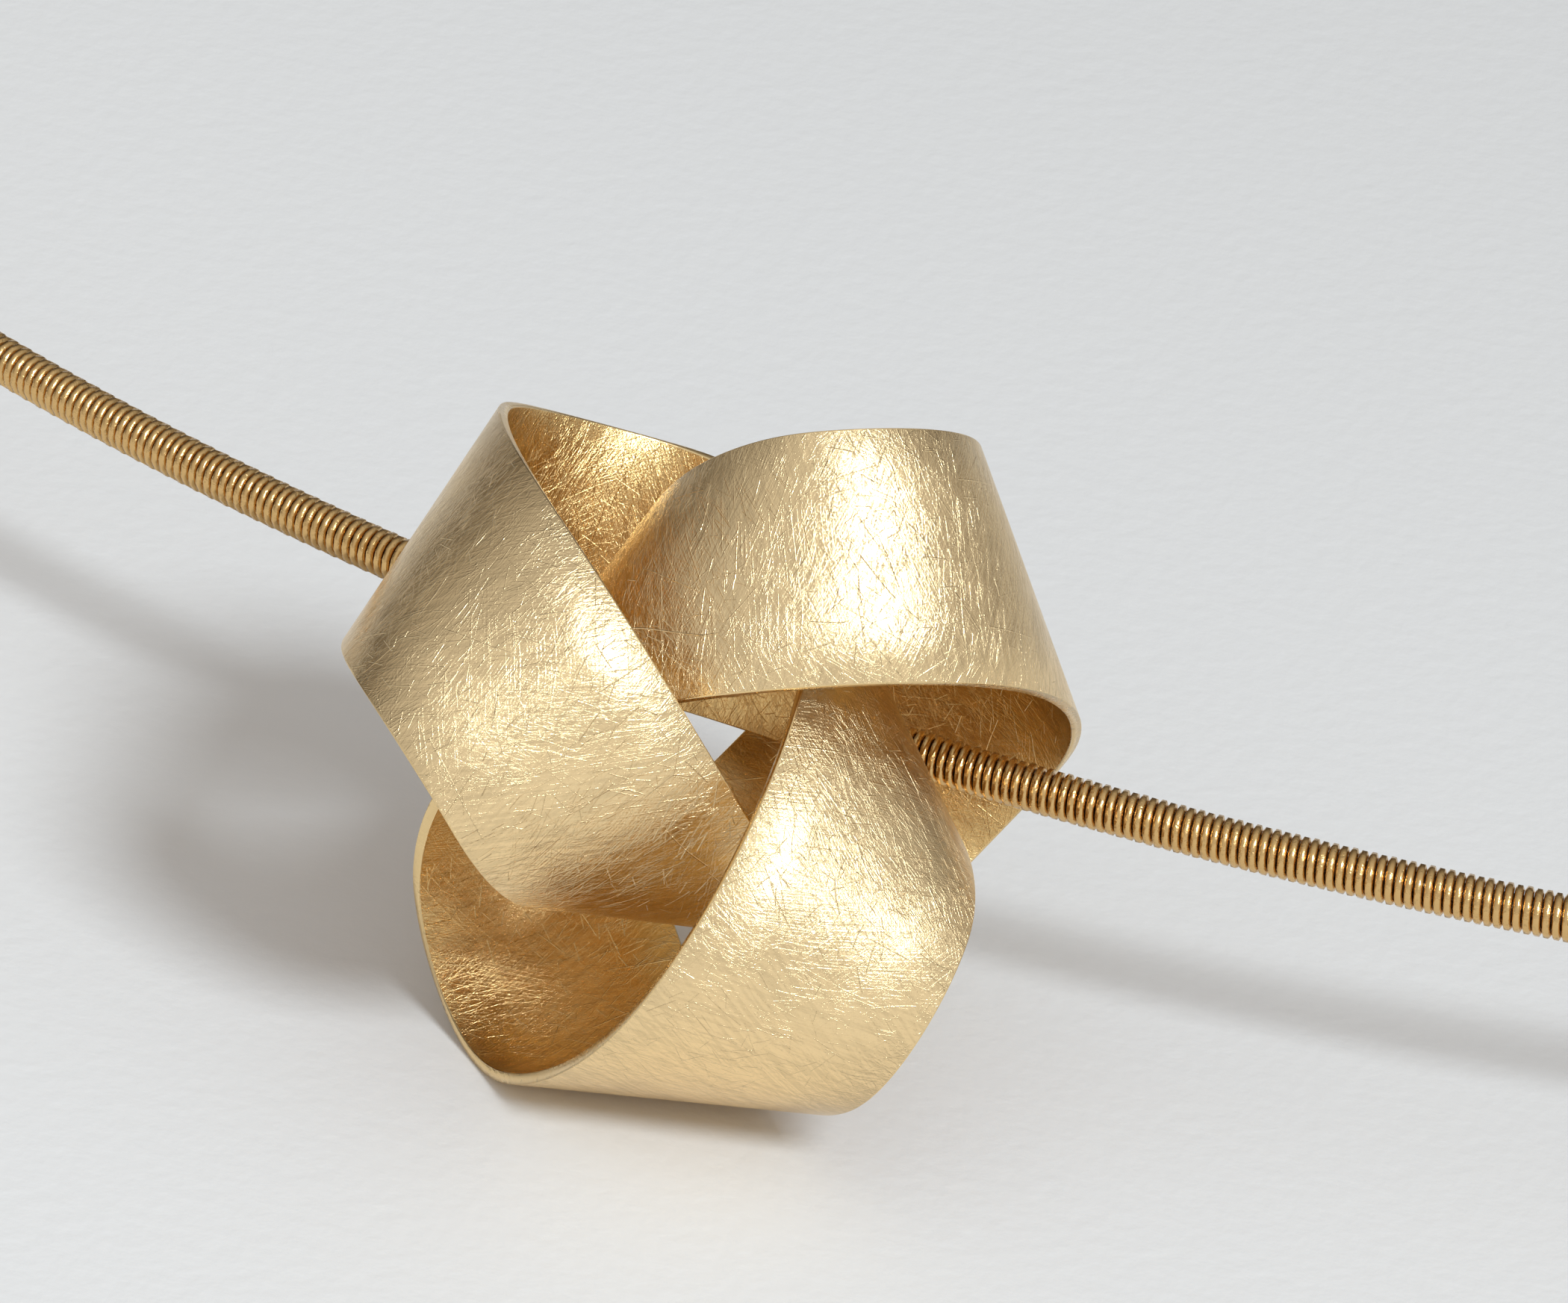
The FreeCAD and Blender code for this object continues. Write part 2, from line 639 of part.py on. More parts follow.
def clasp_body():
    """The claw: a rounded egg with a hook eye, a mouth and a fork slot."""
    body = doc.addObject("PartDesign::Body", "ClaspBody")
    outline = new_sketch(body, "ClaspOutline", "XY_Plane")
    clasp_outline(outline)
    pad = body.newObject("PartDesign::Pad", "ClaspPad")
    pad.Profile = outline
    pad.Midplane = True
    pad.setExpression("Length", "Sizes.clasp_thickness")
    outline.Visibility = False
    doc.recompute()
    rims = []
    for i, edge in enumerate(pad.Shape.Edges, start=1):
        middle = edge.CenterOfMass
        if abs(abs(middle.z) - size("clasp_thickness") / 2) < 1e-6:
            rims.append("Edge%d" % i)
    rounded = body.newObject("PartDesign::Fillet", "ClaspRound")
    rounded.Base = (pad, rims)
    rounded.setExpression("Radius", "Sizes.clasp_edge_round")
    body.Tip = rounded
    doc.recompute()

    through = "Sizes.clasp_thickness * 2"
    hook = new_sketch(body, "HookEye", "XY_Plane")
    hook_outline(hook)
    pocket(body, hook, "HookCut", through)
    tail = new_sketch(body, "TailHole", "XY_Plane")
    circle(tail, "tail", 0.0, size("tail_hole_radius"), "0",
           "Sizes.tail_hole_radius")
    pocket(body, tail, "TailCut", through)
    half, half_tail = size("clasp_thickness") / 2, size("tail_thickness") / 2
    flats = new_sketch(body, "TailFlats", "XZ_Plane")
    rectangle(flats, "upper", -2 * size("clasp_tail_radius"),
              size("tail_flat_reach"), half_tail, 2 * half,
              ("-2 * Sizes.clasp_tail_radius", "Sizes.tail_flat_reach",
               "Sizes.tail_thickness / 2", "Sizes.clasp_thickness"))
    rectangle(flats, "lower", -2 * size("clasp_tail_radius"),
              size("tail_flat_reach"), -2 * half, -half_tail,
              ("-2 * Sizes.clasp_tail_radius", "Sizes.tail_flat_reach",
               "-Sizes.clasp_thickness", "-Sizes.tail_thickness / 2"))
    pocket(body, flats, "TailFlatCut", "Sizes.clasp_tail_radius * 4")
    gap, high = size("gate_end_clearance"), 2 * size("clasp_head_radius")
    mouth = new_sketch(body, "Mouth", "XY_Plane")
    mouth_outline(mouth, size("mouth_start"), size("mouth_floor"),
                  size("clasp_head_radius") + gap, size("gate_reach") + gap)
    pocket(body, mouth, "MouthCut", through)
    heel = size("gate_heel_radius") + gap
    fork = new_sketch(body, "Fork", "XY_Plane")
    rectangle(fork, "fork", size("pivot_reach") - heel,
              size("mouth_start") + gap,
              size("pivot_height") - heel, high,
              ("Sizes.pivot_reach - Sizes.gate_heel_radius"
               " - Sizes.gate_end_clearance",
               "Sizes.mouth_start + Sizes.gate_end_clearance",
               "Sizes.pivot_height - Sizes.gate_heel_radius"
               " - Sizes.gate_end_clearance",
               "Sizes.clasp_head_radius * 2"))
    pocket(body, fork, "ForkCut",
           "Sizes.gate_thickness + 2 * Sizes.gate_side_clearance")
    rivet = new_sketch(body, "RivetHole", "XY_Plane")
    pivot_circle(rivet, "Sizes.rivet_diameter / 2", size("rivet_diameter") / 2)
    pocket(body, rivet, "RivetCut", through)
    finish(body, "clasp_body", Placement(Vector(tail_x, chain_y, 0), Rotation()))


def pivot_circle(sketch, radius_law, radius):
    """A circle at the gate's pivot."""
    centre = Vector(size("pivot_reach"), size("pivot_height"), 0)
    index = sketch.addGeometry(Part.Circle(centre, Z_AXIS, radius))
    bind(sketch, Sketcher.Constraint("DistanceX", -1, 1, index, 3, centre.x),
         "reach", "Sizes.pivot_reach")
    bind(sketch, Sketcher.Constraint("DistanceY", -1, 1, index, 3, centre.y),
         "height", "Sizes.pivot_height")
    bind(sketch, Sketcher.Constraint("Radius", index, radius),
         "radius", radius_law)


def plate(name, draw, thickness_law, thickness):
    """A plate cut from an outline, lying evenly about z = 0."""
    sketch = doc.addObject("Sketcher::SketchObject", name + "_outline")
    draw(sketch)
    slab = doc.addObject("Part::Extrusion", name)
    slab.Base = sketch
    slab.Dir = Z_AXIS
    slab.DirMode = "Custom"
    slab.Solid = True
    slab.Symmetric = True
    slab.setExpression("LengthFwd", thickness_law)
    sketch.Visibility = False
    return slab


def clasp_gate():
    """The gate: the part of the outline that the mouth leaves out, with a
    heel round the rivet, a slot for the spring and a nub for the thumb."""
    thick = size("gate_thickness")
    blank = plate("GateBlank", clasp_outline, "Sizes.gate_thickness", thick)
    window = primitive("Part::Box", "GateWindow",
                       Length="Sizes.gate_reach",
                       Width="Sizes.clasp_head_radius * 2",
                       Height="Sizes.clasp_thickness * 2")
    turned(window, x=size("pivot_reach"), y=size("pivot_height"),
           z=-size("clasp_thickness"))
    arm = boolean("Part::Common", "GateArm", blank, window)
    hook = plate("GateHook", hook_outline, "Sizes.clasp_thickness * 2",
                 size("clasp_thickness") * 2)
    curved = boolean("Part::Cut", "GateCurved", arm, hook)
    sweep = primitive("Part::Cylinder", "GateSweep", Radius="Sizes.gate_reach",
                      Height="Sizes.clasp_thickness * 2")
    turned(sweep, x=size("pivot_reach"), y=size("pivot_height"),
           z=-size("clasp_thickness"))
    tipped = boolean("Part::Common", "GateTipped", curved, sweep)
    heel = primitive("Part::Cylinder", "GateHeel",
                     Radius="Sizes.gate_heel_radius",
                     Height="Sizes.gate_thickness")
    turned(heel, x=size("pivot_reach"), y=size("pivot_height"), z=-thick / 2)
    lean = math.asin((size("clasp_head_radius") - size("clasp_tail_radius"))
                     / size("clasp_head_reach"))
    nub = primitive("Part::Cylinder", "GateNub",
                    Radius="Sizes.gate_nub_radius",
                    Height="Sizes.gate_thickness")
    nub_y = (size("clasp_tail_radius") / math.cos(lean)
             + size("gate_nub_reach") * math.tan(lean))
    turned(nub, x=size("gate_nub_reach"), y=nub_y, z=-thick / 2)
    whole = fuse("GateWhole", [tipped, heel, nub])
    hole = primitive("Part::Cylinder", "GateHole",
                     Radius="Sizes.rivet_diameter / 2 + Sizes.rivet_clearance",
                     Height="Sizes.gate_thickness * 2")
    turned(hole, x=size("pivot_reach"), y=size("pivot_height"), z=-thick)
    room = primitive("Part::Cylinder", "SpringRoom",
                     Radius="Sizes.spring_room_radius",
                     Height="(Sizes.spring_turns + 1) * Sizes.spring_wire"
                            " + Sizes.spring_turns * Sizes.spring_turn_gap"
                            " + 2 * Sizes.gate_side_clearance")
    turned(room, x=size("pivot_reach"), y=size("pivot_height"),
           z=-spring_height / 2 - size("gate_side_clearance"))
    gate = boolean("Part::Cut", "ClaspGate", whole,
                   fuse("GateCutters", [hole, room]))
    finish(gate, "clasp_gate", Placement(Vector(tail_x, chain_y, 0), Rotation()))


def gate_spring():
    """A torsion spring: a coil round the rivet and a straight leg each end.

    The lower leg bears on the back of the fork, the upper one on the gate.
    """
    radius = (size("rivet_diameter") / 2 + size("spring_clearance")
              + size("spring_wire") / 2)
    pitch = size("spring_wire") + size("spring_turn_gap")
    height = pitch * size("spring_turns")
    # at its two ends the coil runs on into a leg without a bend
    ahead = Vector(0, radius, pitch / (2 * math.pi))
    ahead.Length = size("spring_leg")
    about_z = Rotation(Z_AXIS, 360 * size("spring_turns"))
    start = Vector(radius, 0, 0)
    end = about_z.multVec(start) + Vector(0, 0, height)
    path = doc.addObject("Part::Feature", "SpringPath")
    path.Shape = Part.Wire([Part.makeLine(start - ahead, start)]
                           + Part.makeHelix(pitch, height, radius).Edges
                           + [Part.makeLine(end, end + about_z.multVec(ahead))])
    section = primitive("Part::Circle", "SpringSection",
                        Radius="Sizes.spring_wire / 2")
    section.Placement = Placement(start - ahead, Rotation(Z_AXIS, ahead))
    spring = doc.addObject("Part::Sweep", "GateSpring")
    spring.Sections = [section]
    spring.Spine = (path, ["Edge%d" % (i + 1)
                           for i in range(len(path.Shape.Edges))])
    spring.Solid = True
    spring.Frenet = True
    place = Vector(tail_x + size("pivot_reach"), chain_y + size("pivot_height"),
                   size("spring_wire") / 2 - spring_height / 2)
    finish(spring, "gate_spring", Placement(place, Rotation(Z_AXIS, -90)))


def gate_rivet():
    """The pin that the gate turns on, riveted over on both cheeks."""
    shank = primitive("Part::Cylinder", "RivetShank",
                      Radius="Sizes.rivet_diameter / 2",
                      Height="Sizes.clasp_thickness + 2 * Sizes.rivet_head_rise")
    reach = size("clasp_thickness") / 2 + size("rivet_head_rise")
    turned(shank, z=-reach)
    place = Vector(tail_x + size("pivot_reach"), chain_y + size("pivot_height"), 0)
    holder = fuse("GateRivet", [shank, rivet_head(1), rivet_head(-1)])
    finish(holder, "gate_rivet", Placement(place, Rotation()))


def rivet_head(side):
    head = primitive("Part::Cylinder", "RivetHead%d" % (side + 2),
                     Radius="Sizes.rivet_head_radius",
                     Height="Sizes.rivet_head_rise")
    low = size("clasp_thickness") / 2
    return turned(head, z=low if side > 0 else -low - size("rivet_head_rise"))


coil_winding()
core_cable()
end_cap("end_cap_left", 1)
end_cap("end_cap_right", -1)
ring("jump_ring", jump_x)
ring("closing_ring", chain_span / 2 - eye_to_ring)
clasp_body()
clasp_gate()
gate_rivet()
gate_spring()

knot = doc.addObject("Part::Feature", "KnotBand")
knot.Shape = knotted_band(stations)
finish(knot, "knot_band", knot_seat)

# ------------------------------------------------------------ centre and save
doc.recompute()
bad = [o.Name for o in doc.Objects
       if "Invalid" in o.State or "Error" in o.State]
if bad:
    raise RuntimeError("failed objects: " + ", ".join(bad))
box = FreeCAD.BoundBox()
for item in nodes:
    box.add(item.Shape.optimalBoundingBox())
for item in nodes:
    item.Placement.Base = item.Placement.Base - Vector(box.Center.x,
                                                       box.Center.y, 0)
for item in nodes:
    if item.Shape.isNull() or not item.Shape.isValid():
        raise RuntimeError("bad shape: " + item.Label)

os.makedirs("parts", exist_ok=True)
for item in nodes:
    item.Shape.exportStep("parts/%s.step" % item.Label)
    print("%-14s %3d solid %10.3f mm3" % (item.Label, len(item.Shape.Solids),
                                         item.Shape.Volume))
to_origin = Placement(Vector(-box.Center.x, -box.Center.y, 0), Rotation())
world = to_origin.multiply(rest)
pivots = {
    "knot_travel": Vector(),
    "gate_swing": Vector(tail_x + size("pivot_reach"),
                         chain_y + size("pivot_height"), 0),
    "jump_ring_roll": Vector(jump_x, chain_y, 0),
    "closing_ring_roll": Vector(chain_span / 2 - eye_to_ring, chain_y, 0),
}
for name, pivot in pivots.items():
    point = world.multVec(pivot)
    print("%-18s at %9.4f %9.4f %9.4f mm" % (name, point.x, point.y, point.z))
axis = world.Rotation.multVec(Z_AXIS)
print("hoop axis %.6f %.6f %.6f, half gap %.3f degrees, box %.3f x %.3f x %.3f"
      % (axis.x, axis.y, axis.z, half_gap, box.XLength, box.YLength, box.ZLength))
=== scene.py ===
"""Knotted gold band on a spiral-wound neck wire, dressed for display.

Each operator makes one piece, or one group of like pieces, round the fixed
frame of solid parts.  Lengths are in metres; MM turns millimetres into them.
"""
import json
import math

import bpy
import numpy as np
from bpy.props import (FloatProperty, FloatVectorProperty, IntProperty,
                       PointerProperty)
from mathutils import Matrix, Vector


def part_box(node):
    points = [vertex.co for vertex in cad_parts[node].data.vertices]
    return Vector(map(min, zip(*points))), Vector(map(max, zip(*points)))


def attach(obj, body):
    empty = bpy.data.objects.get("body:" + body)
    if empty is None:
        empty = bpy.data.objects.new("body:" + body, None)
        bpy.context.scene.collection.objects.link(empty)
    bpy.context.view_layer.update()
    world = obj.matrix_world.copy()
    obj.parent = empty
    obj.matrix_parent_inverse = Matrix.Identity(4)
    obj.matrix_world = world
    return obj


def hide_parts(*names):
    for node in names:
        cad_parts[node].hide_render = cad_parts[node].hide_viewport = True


bl_info = {
    "name": "Knot Necklace",
    "version": (1, 0, 0),
    "blender": (4, 5, 0),
    "location": "3D View > Sidebar > Necklace",
    "description": "Makes a knotted band on a spiral-wound neck wire",
    "category": "Object",
}

MM = 0.001
DEGREE = math.pi / 180
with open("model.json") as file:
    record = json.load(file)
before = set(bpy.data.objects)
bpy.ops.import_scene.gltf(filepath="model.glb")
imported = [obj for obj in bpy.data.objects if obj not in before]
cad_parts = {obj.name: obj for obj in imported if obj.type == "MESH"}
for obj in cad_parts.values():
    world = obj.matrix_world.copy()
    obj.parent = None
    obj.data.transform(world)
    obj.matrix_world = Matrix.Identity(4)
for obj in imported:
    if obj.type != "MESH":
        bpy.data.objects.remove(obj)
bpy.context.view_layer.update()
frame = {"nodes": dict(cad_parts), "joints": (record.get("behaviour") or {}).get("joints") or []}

# The hoop of the neck wire: its centre and axis are those the knot runs round.
KNOT_TRAVEL = next(j for j in frame["joints"] if j["name"] == "knot_travel")
HOOP_CENTRE = Vector(KNOT_TRAVEL["pos_m"])
HOOP_TILT = math.atan2(KNOT_TRAVEL["axis"][1], KNOT_TRAVEL["axis"][2])
HOOP_SEAT = (Matrix.Translation(HOOP_CENTRE)
             @ Matrix.Rotation(-HOOP_TILT, 4, "X"))

# Leans of the hand strokes on the band: over two lobes, and on the third.
ACROSS, SLANTED = 1.57, 0.65
# Share of the strip's length at the middle of the third lobe, and how far
# from there the slanting strokes fade out, and are at their fullest.
THIRD_LOBE, SLANT_END, SLANT_FULL = 0.645, 0.09, 0.03

COARSE_MESH_GAP = 0.001 * MM    # corners of the strip closer than this merge
SOLID_MESH_GAP = 0.0005 * MM    # the same on the copies of solid parts
POLISH_LOSS = 0.003 * MM        # what the polish takes off a ring
WIRE_OVAL = 1.12                # the winding wire's height over its width
SCRATCH_DEPTH = 0.0068 * MM     # how deep a full stroke cuts into the band
FLOOR_RADIUS, FLOOR_DROP = 3.0, 0.02 * MM
# Painted shade: the floor's colour dims between these, from front to back.
FLOOR_PAINTED_SHADE_START, FLOOR_PAINTED_SHADE_END = -130.0, 60.0    # the floor dims between, in mm
CAMERA_NEAR, CAMERA_FAR = 0.01, 20.0


# ------------------------------------------------------------------ settings
def length(name, description, default):
    return FloatProperty(name=name, description=description,
                         default=default * MM, min=0.0, unit="LENGTH",
                         precision=5)


def angle(name, description, default):
    return FloatProperty(name=name, description=description,
                         default=default * DEGREE, subtype="ANGLE")


def number(name, description, default):
    return FloatProperty(name=name, description=description, default=default)


def colour(name, description, default):
    return FloatVectorProperty(name=name, description=description, size=3,
                               default=default, subtype="COLOR", min=0, max=1)


class NeckWireSizes(bpy.types.PropertyGroup):
    diameter: length("Diameter", "Outer diameter of the wound neck wire", 1.25)
    winding: length("Winding wire", "Diameter of the wire that is wound", 0.25)
    turn_gap: length("Gap between turns", "Air between neighbouring turns",
                     0.0085)
    stretches: IntProperty(name="Stretches", default=4, min=1,
                           description="Pieces the winding is made in")
    facets: IntProperty(name="Facets in two turns", default=25, min=12,
                        description="Steps of the winding wire in two turns")
    sides: IntProperty(name="Sides", default=6, min=4,
                       description="Sides of the winding wire's section")


class KnotSizes(bpy.types.PropertyGroup):
    band_length: length("Band length", "Length of the strip round the knot",
                        106.6)
    band_width: length("Band width", "Width of the flat strip", 6.6)
    thickness: length("Thickness", "Thickness of the strip", 0.3)
    rim_round: length("Rim rounding", "Rounding of the strip's edges", 0.04)
    bend_swing: number("Bend swing", "First overtone of the bending", 0.451)
    bend_second: number("Second bend", "Second overtone of the bending",
                        -0.507)
    bend_third: number("Third bend", "Third overtone of the bending", -0.546)
    twist_swing: number("Twist swing", "First overtone of the twist", -1.817)
    outward: length("Outward", "Knot centre outside the wire's circle", 5.3)
    upward: length("Upward", "Knot centre above the wire's plane", 1.45)
    yaw: angle("Yaw", "Turn of the knot about the upright", -165)
    pitch: angle("Pitch", "Nod of the knot", -29)
    roll: angle("Roll", "Roll of the knot about its own long axis", -53.8)
    steps: IntProperty(name="Steps", default=80, min=12,
                       description="Facets in a sixth of the knot")


class Finishes(bpy.types.PropertyGroup):
    satin: colour("Satin gold", "Scratch-matted outside of the band",
                  (0.93, 0.70, 0.385))
    # Painted shade: the inner faces get a deeper, more orange gold than the outside, standing in
    # for the light that bounces between the band's faces.
    satin_inside_painted_shade: colour("Inner satin gold", "Deeper inside of the band",
                         (0.87, 0.60, 0.26))
    polished: colour("Polished gold", "Caps, rings, clasp and rims",
                     (0.88, 0.65, 0.33))
    winding: colour("Winding gold", "The wound wire", (0.74, 0.48, 0.20))
    steel: colour("Steel", "Core and spring", (0.56, 0.55, 0.53))
    floor: colour("Floor", "The matt white floor", (0.80, 0.78, 0.75))


class StageSettings(bpy.types.PropertyGroup):
    azimuth: angle("Camera azimuth", "Camera's turn about the upright", 23.016)
    elevation: angle("Camera elevation", "Camera's height angle", 29.734)
    roll: angle("Camera roll", "Lean of the picture", 6.831)
    distance: length("Camera distance", "From the knot to the camera", 519.7)
    lens: FloatProperty(name="Lens", default=465.0,
                        description="Camera's focal length in millimetres")
    aim_right: length("Aim right", "Middle of the view, right of the knot",
                      2.086)
    aim_up: length("Aim up", "Middle of the view, above the knot", 2.182)
    key_azimuth: angle("Key azimuth", "Key light's turn about the upright", 58)
    key_elevation: angle("Key elevation", "Key light's height angle", 46)
    key_spread: angle("Key spread", "Width of the key light as seen", 15.6)
    key_power: FloatProperty(name="Key power", default=2.157,
                             description="Key light in watts per square metre")
    key_tint: colour("Key tint", "Colour of the key light", (0.82, 0.91, 1.0))
    dim_side: colour("Dim side", "The room's dim side", (0.07, 0.05, 0.03))
    bright_side: colour("Bright side", "The room's bright side",
                        (0.68, 0.685, 0.695))
    room_azimuth: angle("Room azimuth", "Turn of the room's bright side", 35)
    room_elevation: angle("Room elevation", "Height of the bright side", 45)


class NecklaceSettings(bpy.types.PropertyGroup):
    wire: PointerProperty(type=NeckWireSizes)
    knot: PointerProperty(type=KnotSizes)
    finish: PointerProperty(type=Finishes)
    stage: PointerProperty(type=StageSettings)


# ---------------------------------------------------------------- node wiring
class Wiring:
    """Adds nodes to one tree and joins them, from left to right."""

    def __init__(self, tree):
        self.tree = tree
        self.column = 0

    def add(self, kind, inputs=None, **settings):
        node = self.tree.nodes.new(kind)
        node.location = (self.column * 190, 0)
        self.column += 1
        for name, value in settings.items():
            setattr(node, name, value)
        for key, value in (inputs or {}).items():
            if isinstance(value, bpy.types.NodeSocket):
                self.tree.links.new(value, node.inputs[key])
            else:
                node.inputs[key].default_value = value
        return node

    def math(self, operation, first, second=0.0):
        return self.add("ShaderNodeMath", {0: first, 1: second},
                        operation=operation).outputs[0]

    def ease(self, value, start, end, low=0.0, high=1.0):
        """A smooth step of value: low up to start, high from end on."""
        return self.add("ShaderNodeMapRange",
                        {"Value": value, "From Min": start, "From Max": end,
                         "To Min": low, "To Max": high},
                        interpolation_type="SMOOTHSTEP").outputs["Result"]

    def mix(self, factor, first, second):
        return self.add("ShaderNodeMix", {0: factor, 6: first, 7: second},
                        data_type="RGBA").outputs[2]

    def noise(self, vector, scale, detail):
        return self.add("ShaderNodeTexNoise", {
            "Vector": vector, "Scale": scale, "Detail": detail})


def effect(name, inputs, outputs):
    """An empty shader node group with float or vector inputs."""
    tree = bpy.data.node_groups.new(name, "ShaderNodeTree")
    for label, default in inputs.items():
        kind = "NodeSocketVector" if default is None else "NodeSocketFloat"
        socket = tree.interface.new_socket(label, in_out="INPUT",
                                           socket_type=kind)
        if default is not None:
            socket.default_value = default
    for label in outputs:
        tree.interface.new_socket(label, in_out="OUTPUT",
                                  socket_type="NodeSocketFloat")
    wiring = Wiring(tree)
    entry = wiring.add("NodeGroupInput")
    return tree, wiring, entry.outputs


def close_effect(wiring, **results):
    exit_node = wiring.add("NodeGroupOutput")
    for name, socket in results.items():
        wiring.tree.links.new(socket, exit_node.inputs[name])


def bowed(w, given, per_mm):
    """The group's Vector swayed softly, so that lines along it bow."""
    sway = w.noise(given["Vector"], per_mm, 1.0).outputs["Color"]
    centred = w.add("ShaderNodeVectorMath", {0: sway, 1: (0.5, 0.5, 0.5)},
                    operation="SUBTRACT").outputs[0]
    offset = w.add("ShaderNodeVectorMath", {0: centred, 3: given["Bow"]},
                   operation="SCALE").outputs[0]
    return w.add("ShaderNodeVectorMath", {0: given["Vector"], 1: offset},
                 operation="ADD").outputs[0]


def scratch_strokes():
    """Single scratches, one to a cell, each at its own angle and depth."""
    tree, w, given = effect(
        "Scratch strokes",
        {"Vector": None, "Per mm": 1.0, "Width": 0.03, "Length": 0.6,
         "Lean": 0.0, "Spread": 3.14, "Bow": 0.3},
        ["Height"])
    place = bowed(w, given, 0.35)
    cells = w.add("ShaderNodeTexVoronoi",
                  {"Vector": place, "Scale": given["Per mm"]},
                  voronoi_dimensions="2D").outputs
    own = w.add("ShaderNodeSeparateColor", {0: cells["Color"]}).outputs
    offset = w.add("ShaderNodeVectorMath", {0: place, 1: cells["Position"]},
                   operation="SUBTRACT").outputs[0]
    turn = w.math("ADD", given["Lean"],
                  w.math("MULTIPLY", w.math("SUBTRACT", own[0], 0.5),
                         given["Spread"]))
    laid = w.add("ShaderNodeVectorRotate", {"Vector": offset, "Angle": turn},
                 rotation_type="Z_AXIS").outputs[0]
    parts = w.add("ShaderNodeSeparateXYZ", {0: laid}).outputs
    across = w.ease(w.math("ABSOLUTE", parts[1]), given["Width"], 0.0)
    along = w.ease(w.math("ABSOLUTE", parts[0]), given["Length"],
                   w.math("MULTIPLY", given["Length"], 0.5))
    depth = w.math("ADD", w.math("POWER", own[1], 2.5), 0.08)
    height = w.math("MULTIPLY", w.math("MULTIPLY", across, along), depth)
    close_effect(w, Height=height)
    return tree


def brushed_hairs():
    """Bundles of fine parallel hairlines that come and go in patches."""
    tree, w, given = effect(
        "Brushed hairs",
        {"Vector": None, "Lean": 0.0, "Fineness": 12.0, "Stretch": 14.0,
         "Patch": 0.5, "Bow": 0.3, "Rarity": 0.0},
        ["Height"])
    place = bowed(w, given, 0.25)
    laid = w.add("ShaderNodeVectorRotate",
                 {"Vector": place, "Angle": given["Lean"]},
                 rotation_type="Z_AXIS").outputs[0]
    parts = w.add("ShaderNodeSeparateXYZ", {0: laid}).outputs
    drawn = w.add("ShaderNodeCombineXYZ",
                  {0: w.math("DIVIDE", parts[0], given["Stretch"]),
                   1: parts[1], 2: parts[2]}).outputs[0]
    hair = w.math("SUBTRACT",
                  w.noise(drawn, given["Fineness"], 3.0).outputs["Fac"],
                  given["Rarity"])
    patch = w.noise(given["Vector"], given["Patch"], 1.0).outputs["Fac"]
    height = w.math("MULTIPLY", w.ease(hair, 0.42, 0.62),
                    w.ease(patch, 0.35, 0.6, 0.5, 1.0))
    close_effect(w, Height=height)
    return tree


def handling_wear():
    """Soft clouds of wear and small dark specks, for colour and gloss."""
    tree, w, given = effect(
        "Handling wear",
        {"Vector": None, "Cloud": 0.4, "Speck": 9.0},
        ["Clouds", "Specks"])
    clouds = w.noise(given["Vector"], given["Cloud"], 4.0).outputs["Fac"]
    specks = w.noise(given["Vector"], given["Speck"], 3.0).outputs["Fac"]
    close_effect(w, Clouds=w.ease(clouds, 0.3, 0.7),
                 Specks=w.ease(specks, 0.60, 0.72))
    return tree


EFFECTS = {}


def effect_tree(name):
    """The shared effect of that name, built the first time it is asked for."""
    builders = {"Scratch strokes": scratch_strokes,
                "Brushed hairs": brushed_hairs,
                "Handling wear": handling_wear}
    if name not in EFFECTS:
        EFFECTS[name] = builders[name]()
    return EFFECTS[name]


def placed(wiring, name, **inputs):
    """One use of a shared effect, with this finish's own values."""
    node = wiring.add("ShaderNodeGroup", node_tree=effect_tree(name))
    for label, value in inputs.items():
        socket = node.inputs[label.replace("_", " ")]
        if isinstance(value, bpy.types.NodeSocket):
            wiring.tree.links.new(value, socket)
        else:
            socket.default_value = value
    return node.outputs


def new_finish(name):
    """A material with its shader: returns it, its wiring and its shader."""
    material = bpy.data.materials.new(name)
    material.use_nodes = True
    tree = material.node_tree
    tree.nodes.clear()
    wiring = Wiring(tree)
    shader = wiring.add("ShaderNodeBsdfPrincipled")
    output = wiring.add("ShaderNodeOutputMaterial")
    tree.links.new(shader.outputs[0], output.inputs[0])
    shader.location, output.location = (2600, 0), (2900, 0)
    return material, wiring, shader


def object_mm(wiring):
    """Object coordinates in millimetres."""
    here = wiring.add("ShaderNodeTexCoord").outputs["Object"]
    return wiring.add("ShaderNodeMapping",
                      {"Vector": here, "Scale": (1 / MM,) * 3}).outputs[0]


def rgba(value, shade=1.0):
    return tuple(min(1.0, c * shade) for c in value) + (1.0,)


def bump(wiring, height, deep):
    return wiring.add("ShaderNodeBump", {
        "Height": height, "Strength": 1.0, "Distance": deep}).outputs[0]


